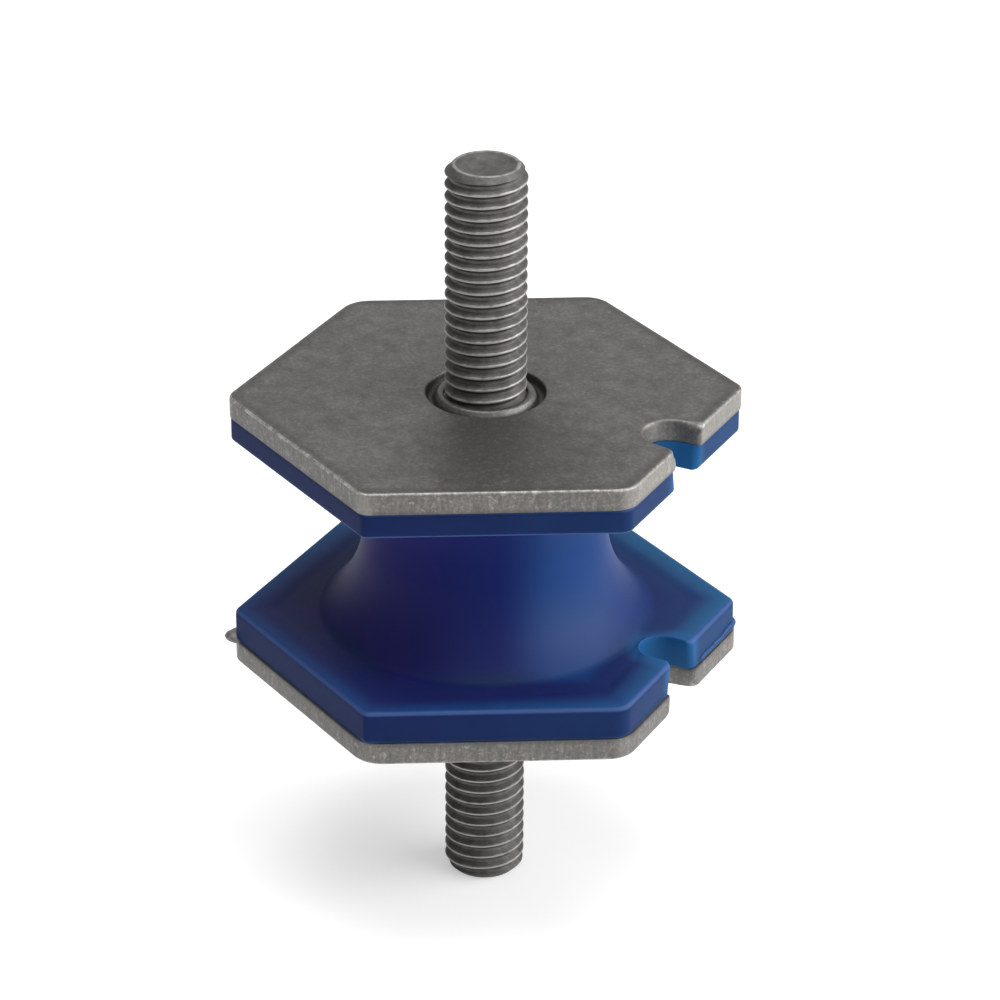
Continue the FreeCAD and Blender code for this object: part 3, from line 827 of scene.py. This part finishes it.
def axis_distance(tree, where):
    """How far a place lies from the studs' axis."""
    flat = add_node(tree, "ShaderNodeVectorMath", {0: where, 1: (1, 1, 0)}, operation="MULTIPLY").outputs[0]
    return add_node(tree, "ShaderNodeVectorMath", {0: flat}, operation="LENGTH").outputs["Value"]


def edge_inset(tree, where, apothem):
    """How far a place lies inside the hexagon's sides."""
    reaches = []
    for k in range(3):
        angle = math.radians(60 * k)
        reaches.append(size_of(tree, along(tree, where, (math.cos(angle), math.sin(angle), 0))))
    return maths(tree, "SUBTRACT", apothem, largest(tree, *reaches))


def notch_margin(tree, where):
    """How far a place lies outside the notch's wall."""
    behind = maths(tree, "MINIMUM", along(tree, where, (1, 0, 0)), NOTCH_CENTRE)
    behind = maths(tree, "SUBTRACT", NOTCH_CENTRE, behind)
    aside = along(tree, where, (0, 1, 0))
    squares = total(tree, product(tree, behind, behind), product(tree, aside, aside))
    return maths(tree, "SUBTRACT", maths(tree, "SQRT", squares, 0.0), NOTCH_HALF_WIDTH)


def bump(tree, height, strength, distance, normal=None):
    inputs = {"Height": height, "Strength": strength, "Distance": distance * MM}
    if normal:
        inputs["Normal"] = normal
    return add_node(tree, "ShaderNodeBump", inputs).outputs["Normal"]


def darker_round(tree, where, blotch):
    """The darker round in front of the stud, with an uneven edge."""
    away = add_node(tree, "ShaderNodeVectorMath", {0: where, 1: DARK_ROUND_CENTRE}, operation="DISTANCE")
    uneven = total(tree, away.outputs["Value"], ramp(tree, blotch, 0.3, 0.7, -1.5, 1.5))
    return ramp(tree, uneven, 4.5, 13.3, 0.62, 0.0, "SMOOTHSTEP")


def painted_groove_shade(tree, radius, height):
    """Where shade is painted into the upper plate's groove: its sunk part."""
    top = UPPER_PLATE[1].z
    deep = ramp(tree, height, top - 0.55, top - 0.35, 1.0, 0.0)
    outer_wall = ramp(tree, radius, GROOVE_RADIUS - 0.5, GROOVE_RADIUS - 0.3, 0.0, 1.0)
    below_face = ramp(tree, height, top - 0.16, top - 0.04, 1.0, 0.0)
    sunk = largest(tree, deep, product(tree, outer_wall, below_face))
    return product(tree, sunk, ramp(tree, radius, GROOVE_RADIUS, GROOVE_RADIUS + 0.3, 0.85, 0.0))


def painted_roll_highlight(tree, steep, inset, from_middle, rightward):
    """Where a highlight is painted: the rolled edges of the outer faces, most of all where they face the
    picture's left.
    """
    slanted = product(tree, ramp(tree, steep, 0.15, 0.4, 0.0, 1.0), ramp(tree, steep, 0.93, 0.99, 1.0, 0.0))
    slanted = product(tree, slanted, ramp(tree, inset, 0.4, 0.7, 1.0, 0.0))
    outer = ramp(tree, from_middle, HALF_HEIGHT - 0.5, HALF_HEIGHT - 0.35, 0.0, 1.0)
    return product(tree, product(tree, slanted, outer), ramp(tree, rightward, -0.6, -0.1, 1.0, 0.3))


def plate_steel():
    """Dull bare plate: mottled and flecked on its faces, finely streaked where the die sheared it, with a
    painted highlight along its rolled edges and painted light on the sides facing the picture's right. It is
    darker in a round in front of the stud, with painted shade in the groove, against the casting and inside
    the rolled edges."""
    material, tree, shader = new_material("plate_steel")
    where = object_mm(tree)
    normal = surface_normal(tree)
    broad = noise(tree, where, 0.12, 3.0, 0.6, 0.4)
    blotch = noise(tree, where, 0.5, 7.0, 0.7, 0.3)
    grain = noise(tree, where, 3.2, 6.0, 0.75)
    flecks = noise(tree, where, 1.5, 8.0, 0.8)
    streak = noise(tree, object_mm(tree, (1, 1, 5)), 3.0, 5.0, 0.7)
    steep = size_of(tree, along(tree, normal, UP))
    flat = ramp(tree, steep, 0.4, 0.9, 0.0, 1.0)
    rightward = along(tree, normal, (*PICTURE_RIGHT, 0))
    height = along(tree, where, UP)
    from_middle = size_of(tree, maths(tree, "SUBTRACT", height, MID_HEIGHT))
    radius = axis_distance(tree, where)
    inset = edge_inset(tree, where, PLATE_APOTHEM)

    face = mix_colour(tree, ramp(tree, blotch, 0.32, 0.68, 0.0, 1.0), TOP_DARK, TOP_LIGHT)
    face = mix_colour(tree, ramp(tree, broad, 0.38, 0.62, 0.0, 0.4), face, TOP_MIDDLE)
    face = mix_colour(tree, darker_round(tree, where, blotch), face, TOP_DARKEST)
    side = mix_colour(tree, ramp(tree, streak, 0.3, 0.7, 0.0, 1.0), SIDE_DARK, SIDE_LIGHT)
    # Painted light: sides facing the picture's right are lighter, the more so the higher they stand.
    painted_lit_side = ramp(tree, rightward, 0.3, 0.85, 0.0, 1.0)
    upper = ramp(tree, height, 5.0, 24.0, 0.1, 0.95)
    side = mix_colour(tree, product(tree, painted_lit_side, upper), side, SIDE_PAINTED_LIGHT)
    tone = mix_colour(tree, flat, side, face)
    # Painted shade in the sunk part of the groove.
    tone = mix_colour(tree, painted_groove_shade(tree, radius, height), tone, GROOVE_SHADE)
    tone = mix_colour(tree, ramp(tree, grain, 0.35, 0.6, 0.5, 0.0), tone, GRAIN_DARK)
    tone = mix_colour(tree, ramp(tree, grain, 0.55, 0.75, 0.0, 0.35), tone, GRAIN_LIGHT)
    near_edge = ramp(tree, inset, 0.2, 4.0, 1.0, 0.25)
    fleck = product(tree, ramp(tree, flecks, 0.55, 0.64, 0.0, 0.6), near_edge)
    tone = mix_colour(tree, fleck, tone, GRAIN_LIGHT)

    # Painted shade on the plates next to their bonded faces, against the casting. The burr stands out past
    # the plate's corners, so it keeps out of the shade and is lighter.
    bonded = HALF_HEIGHT - PLATE_THICKNESS
    in_shade = ramp(tree, from_middle, bonded + 0.05, bonded + 0.5, 0.65, 0.0)
    in_shade = product(tree, in_shade, ramp(tree, radius, CORNER_REACH - 0.3, CORNER_REACH, 1.0, 0.0))
    tone = mix_colour(tree, in_shade, tone, TOP_DARKEST)
    torn = ramp(tree, radius, CORNER_REACH - 0.2, CORNER_REACH + 0.4, 0.0, 0.4)
    tone = mix_colour(tree, torn, tone, GRAIN_LIGHT)

    # Painted shade: a dark band on the outer faces just inside the rolled edges.
    shade_behind_edge = product(tree, ramp(tree, inset, 0.3, 0.55, 0.0, 1.0), ramp(tree, inset, 0.7, 1.5, 0.5, 0.0))
    tone = mix_colour(tree, product(tree, shade_behind_edge, flat), tone, TOP_DARKEST)
    # Painted highlight along the rolled edges, broken up by the flecks.
    rolled = painted_roll_highlight(tree, steep, inset, from_middle, rightward)
    bare = product(tree, rolled, ramp(tree, flecks, 0.4, 0.6, 0.15, 1.0))
    tone = mix_colour(tree, bare, tone, ROLL_HIGHLIGHT)

    tree.links.new(tone, shader.inputs["Base Color"])
    shader.inputs["Metallic"].default_value = 0.75
    tree.links.new(ramp(tree, blotch, 0.25, 0.75, 0.52, 0.4), shader.inputs["Roughness"])
    fine = bump(tree, grain, 0.6, 0.03)
    streaks = product(tree, streak, maths(tree, "SUBTRACT", 1.0, flat))
    rough = bump(tree, streaks, 0.5, 0.08, fine)
    tree.links.new(bump(tree, blotch, 0.35, 0.06, rough), shader.inputs["Normal"])
    return material


def stud_steel():
    """Rolled thread: matt grey flanks, soiled in patches and with painted shade underneath, with bare crests
    and a bare ridge round the dished tip, both lighter with a painted highlight."""
    material, tree, shader = new_material("stud_steel")
    where = object_mm(tree)
    patch = noise(tree, where, 0.9, 6.0, 0.65)
    grain = noise(tree, object_mm(tree, (1, 1, 0.5)), 4.0, 5.0, 0.7)
    radius = axis_distance(tree, where)
    uneven_radius = total(tree, radius, ramp(tree, patch, 0.3, 0.7, -0.05, 0.05))
    upward = along(tree, surface_normal(tree), UP)
    tone = mix_colour(tree, ramp(tree, patch, 0.35, 0.65, 0.0, 1.0), THREAD_DARK, THREAD_LIGHT)
    tone = mix_colour(tree, ramp(tree, grain, 0.35, 0.65, 0.5, 0.0), tone, GRAIN_DARK)
    # The crests and the ridge round the tip are lighter: bare metal, with a painted highlight.
    crest = ramp(tree, uneven_radius, CREST_RADIUS - 0.09, CREST_RADIUS - 0.01, 0.0, 0.8)
    ridge = ramp(tree, uneven_radius, DISH_RADIUS - 0.12, DISH_RADIUS + 0.03, 0.0, 0.8)
    ridge = product(tree, ridge, ramp(tree, patch, 0.35, 0.6, 0.4, 1.0))
    ridge = product(tree, ridge, ramp(tree, radius, TIP_RADIUS, TIP_RADIUS + 0.1, 1.0, 0.0))
    tone = mix_colour(tree, largest(tree, crest, ridge), tone, CREST_BARE_AND_HIGHLIGHT)
    # Painted shade on the faces that look down.
    tone = mix_colour(tree, ramp(tree, upward, -0.6, -0.2, 0.75, 0.0), tone, THREAD_SHADE)
    tree.links.new(tone, shader.inputs["Base Color"])
    shader.inputs["Metallic"].default_value = 0.6
    tree.links.new(ramp(tree, crest, 0.0, 0.8, 0.58, 0.4), shader.inputs["Roughness"])
    tree.links.new(bump(tree, grain, 0.5, 0.03), shader.inputs["Normal"])
    return material


def polyurethane():
    """Translucent navy casting, its light and shade painted in. The light that comes through where it is thin
    is painted
    as a glow: its rims and the notches glow turquoise, most of all on the side away from the shaded front.
    The neck has painted light and shade, and the rims' rounded edges a painted highlight."""
    material, tree, shader = new_material("polyurethane")
    where = object_mm(tree)
    cloud = noise(tree, where, 0.16, 4.0, 0.6, 0.5)
    ripple = noise(tree, where, 0.35, 3.0, 0.5, 0.2)
    speck = noise(tree, where, 6.0, 5.0, 0.7)
    steep = size_of(tree, along(tree, surface_normal(tree), UP))
    level = ramp(tree, steep, 0.9, 0.98, 0.0, 1.0)
    inset = edge_inset(tree, where, FLANGE_APOTHEM)
    in_rim = ramp(tree, inset, 5.0, 6.5, 1.0, 0.0)
    rightward = along(tree, where, (*PICTURE_RIGHT, 0))
    backward = along(tree, where, (*PICTURE_BACK, 0))
    # Painted light: how lit a place counts grows towards the picture's right and back, unevenly.
    lit = total(tree, product(tree, rightward, 0.0136), product(tree, backward, 0.0159))
    lit = total(tree, lit, ramp(tree, cloud, 0.3, 0.7, 0.42, 0.58))

    # Painted light and shade on the neck: darker to the picture's left, lighter to its right, navy at the far
    # right.
    core = mix_colour(tree, ramp(tree, rightward, -12.0, 2.0, 0.0, 1.0, "SMOOTHSTEP"), CORE_SHADED, CORE_NAVY)
    core = mix_colour(tree, ramp(tree, rightward, 1.0, 7.0, 0.0, 1.0, "SMOOTHSTEP"), core, CORE_LIT)
    core = mix_colour(tree, ramp(tree, rightward, 9.0, 16.0, 0.0, 0.6, "SMOOTHSTEP"), core, CORE_NAVY)
    # Painted glow: the rims' faces and sides, and a band along their edges, lighter and more turquoise where
    # lit.
    field = mix_colour(tree, ramp(tree, lit, 0.3, 1.0, 0.0, 1.0), FIELD_NAVY, FIELD_LIT)
    side = mix_colour(tree, ramp(tree, lit, 0.1, 1.0, 0.0, 1.0), SIDE_NAVY, SIDE_LIT)
    glow = mix_colour(tree, ramp(tree, lit, 0.1, 0.95, 0.0, 1.0), GLOW_BLUE, GLOW_TURQUOISE)
    glow_reach = ramp(tree, lit, 0.1, 1.0, 2.3, 4.6)
    band = ramp(tree, maths(tree, "DIVIDE", inset, glow_reach), 0.1, 1.0, 1.0, 0.0, "SMOOTHSTEP")
    face = mix_colour(tree, band, field, glow)
    tone = mix_colour(tree, level, side, face)
    tone = mix_colour(tree, in_rim, core, tone)
    # Painted glow beside the notches.
    thin = ramp(tree, notch_margin(tree, where), 0.0, 1.8, 0.75, 0.0, "SMOOTHSTEP")
    tone = mix_colour(tree, product(tree, thin, in_rim), tone, NOTCH_GLOW)
    # Painted highlight on the rims' rounded edges.
    rounded = product(tree, ramp(tree, steep, 0.25, 0.5, 0.0, 1.0), ramp(tree, steep, 0.85, 0.99, 1.0, 0.0))
    edge = product(tree, rounded, ramp(tree, inset, 0.5, 0.8, 0.75, 0.0))
    tone = mix_colour(tree, edge, tone, EDGE_HIGHLIGHT)

    tree.links.new(tone, shader.inputs["Base Color"])
    shader.inputs["Subsurface Weight"].default_value = 0.35
    shader.inputs["Subsurface Radius"].default_value = (0.15, 0.7, 1.0)
    shader.inputs["Subsurface Scale"].default_value = 1.2 * MM
    tree.links.new(ramp(tree, steep, 0.1, 0.5, 0.07, 0.18), shader.inputs["Specular IOR Level"])
    shader.inputs["IOR"].default_value = 1.5
    tree.links.new(ramp(tree, speck, 0.3, 0.75, 0.48, 0.58), shader.inputs["Roughness"])
    soft = bump(tree, ripple, 0.25, 0.12)
    tree.links.new(bump(tree, speck, 0.15, 0.012, soft), shader.inputs["Normal"])
    return material


def pale_floor():
    material, _, shader = new_material("pale_floor")
    shader.inputs["Base Color"].default_value = (0.7, 0.7, 0.7, 1)
    shader.inputs["Roughness"].default_value = 0.9
    shader.inputs["Emission Color"].default_value = (1, 1, 1, 1)
    shader.inputs["Emission Strength"].default_value = 0.42
    return material


# Camera: found by fitting the plates, rims and studs, in degrees and millimetres about the middle of the
# upper plate's outer face.
CAMERA_ELEVATION = 27.06
CAMERA_ROLL = 0.28
CAMERA_SIDE = -1.36
CAMERA_LIFT = 10.456
CAMERA_DISTANCE = 421.0
FOCAL_PIXELS = 4400.0
PICTURE_WIDTH = 1000.0
SENSOR_WIDTH = 36.0


def add_camera():
    turn = Matrix.Rotation(math.radians(CAMERA_AZIMUTH), 3, "Z")
    elevation, roll = math.radians(CAMERA_ELEVATION), math.radians(CAMERA_ROLL)
    right = Vector((1, 0, 0))
    up = Vector((0, math.sin(elevation), math.cos(elevation)))
    back = Vector((0, -math.cos(elevation), math.sin(elevation)))
    rolled_right = math.cos(roll) * right + math.sin(roll) * up
    rolled_up = math.cos(roll) * up - math.sin(roll) * right
    place = -CAMERA_SIDE * rolled_right - CAMERA_LIFT * rolled_up + CAMERA_DISTANCE * back
    axes = [turn @ axis for axis in (rolled_right, rolled_up, back)]
    data = bpy.data.cameras.new("camera")
    data.sensor_width = SENSOR_WIDTH
    data.lens = FOCAL_PIXELS / PICTURE_WIDTH * SENSOR_WIDTH
    data.clip_start, data.clip_end = 0.01, 10.0
    camera = bpy.data.objects.new("camera", data)
    bpy.context.scene.collection.objects.link(camera)
    target = Vector((0, 0, UPPER_PLATE[1].z))
    matrix = Matrix(axes).transposed().to_4x4()
    matrix.translation = (turn @ place + target) * MM
    camera.matrix_world = matrix
    bpy.context.scene.camera = camera


def add_light(name, azimuth, elevation, distance, size, power):
    """A soft light, its width and height given, at an angle round the part as seen from the camera: 0 in
    front, 90 to its right."""
    a, e = math.radians(CAMERA_AZIMUTH + azimuth), math.radians(elevation)
    away = Vector((math.sin(a) * math.cos(e), -math.cos(a) * math.cos(e), math.sin(e)))
    data = bpy.data.lights.new(name, "AREA")
    data.shape = "RECTANGLE"
    data.size, data.size_y = (side * MM for side in size)
    data.energy = power
    light = bpy.data.objects.new(name, data)
    light.location = (away * distance + Vector((0, 0, BODY[0].z))) * MM
    light.rotation_mode = "QUATERNION"
    light.rotation_quaternion = away.to_track_quat("Z", "Y")
    bpy.context.scene.collection.objects.link(light)


def add_studio():
    floor_mesh = bpy.data.meshes.new("floor")
    reach, height = 3.0, LOWER_STUD[0].z * MM
    corners = [(x * reach, y * reach, height) for x, y in ((-1, -1), (1, -1), (1, 1), (-1, 1))]
    floor_mesh.from_pydata(corners, [], [(0, 1, 2, 3)])
    floor = bpy.data.objects.new("floor", floor_mesh)
    floor.data.materials.append(pale_floor())
    bpy.context.scene.collection.objects.link(floor)
    world = bpy.data.worlds.new("studio")
    world.use_nodes = True
    background = world.node_tree.nodes["Background"]
    background.inputs["Color"].default_value = (1, 1, 1, 1)
    background.inputs["Strength"].default_value = 0.22
    bpy.context.scene.world = world
    bpy.context.scene.view_settings.view_transform = "Standard"
    add_light("key", 80, 28, 800, (1000, 620), 8.0)
    add_light("front", -5, 48, 900, (700, 500), 0.9)
    add_light("back", 180, 32, 900, (800, 800), 0.7)
    add_light("top", 0, 86, 1200, (900, 900), 11.0)


def dress(made, material, node):
    made.data.materials.append(material)
    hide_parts(node)


def build():
    steel, thread, cast = plate_steel(), stud_steel(), polyurethane()

    upper = plate(UPPER_PLATE_CORNERS)
    upper.points = [(x, y, z + UPPER_PLATE[0].z) for x, y, z in upper.points]
    made = upper.object("upper_plate_stamping", PLATE_SHARP_ANGLE)
    dress(made, steel, "upper_plate")

    # The lower plate is the same stamping turned over, so its rounded lip lands on the other side.
    lower = plate(LOWER_PLATE_CORNERS)
    lower.points = [(x, y, z - LOWER_PLATE[1].z) for x, y, z in lower.points]
    burr = Skin()
    corner_burr(burr)
    lower.faces += [tuple(i + len(lower.points) for i in face) for face in burr.faces]
    lower.points += [(x, -y, -z) for x, y, z in burr.points]
    made = lower.object("lower_plate_stamping", PLATE_SHARP_ANGLE, turned_over=True)
    dress(made, steel, "lower_plate")

    upper = threaded_stud(UPPER_PLATE[1].z, UPPER_STUD[0].z, UPPER_STUD[1].z, UPPER_PHASE)
    made = upper.object("upper_stud_thread", STUD_SHARP_ANGLE, merge=WELD)
    dress(made, thread, "upper_stud")
    lower = threaded_stud(-LOWER_PLATE[0].z, -LOWER_STUD[1].z, -LOWER_STUD[0].z, LOWER_PHASE)
    made = lower.object("lower_stud_thread", STUD_SHARP_ANGLE, turned_over=True, merge=WELD)
    dress(made, thread, "lower_stud")

    made = cast_body().object("cast_body", BODY_SHARP_ANGLE)
    dress(made, cast, "polyurethane_body")


build()
add_studio()
add_camera()
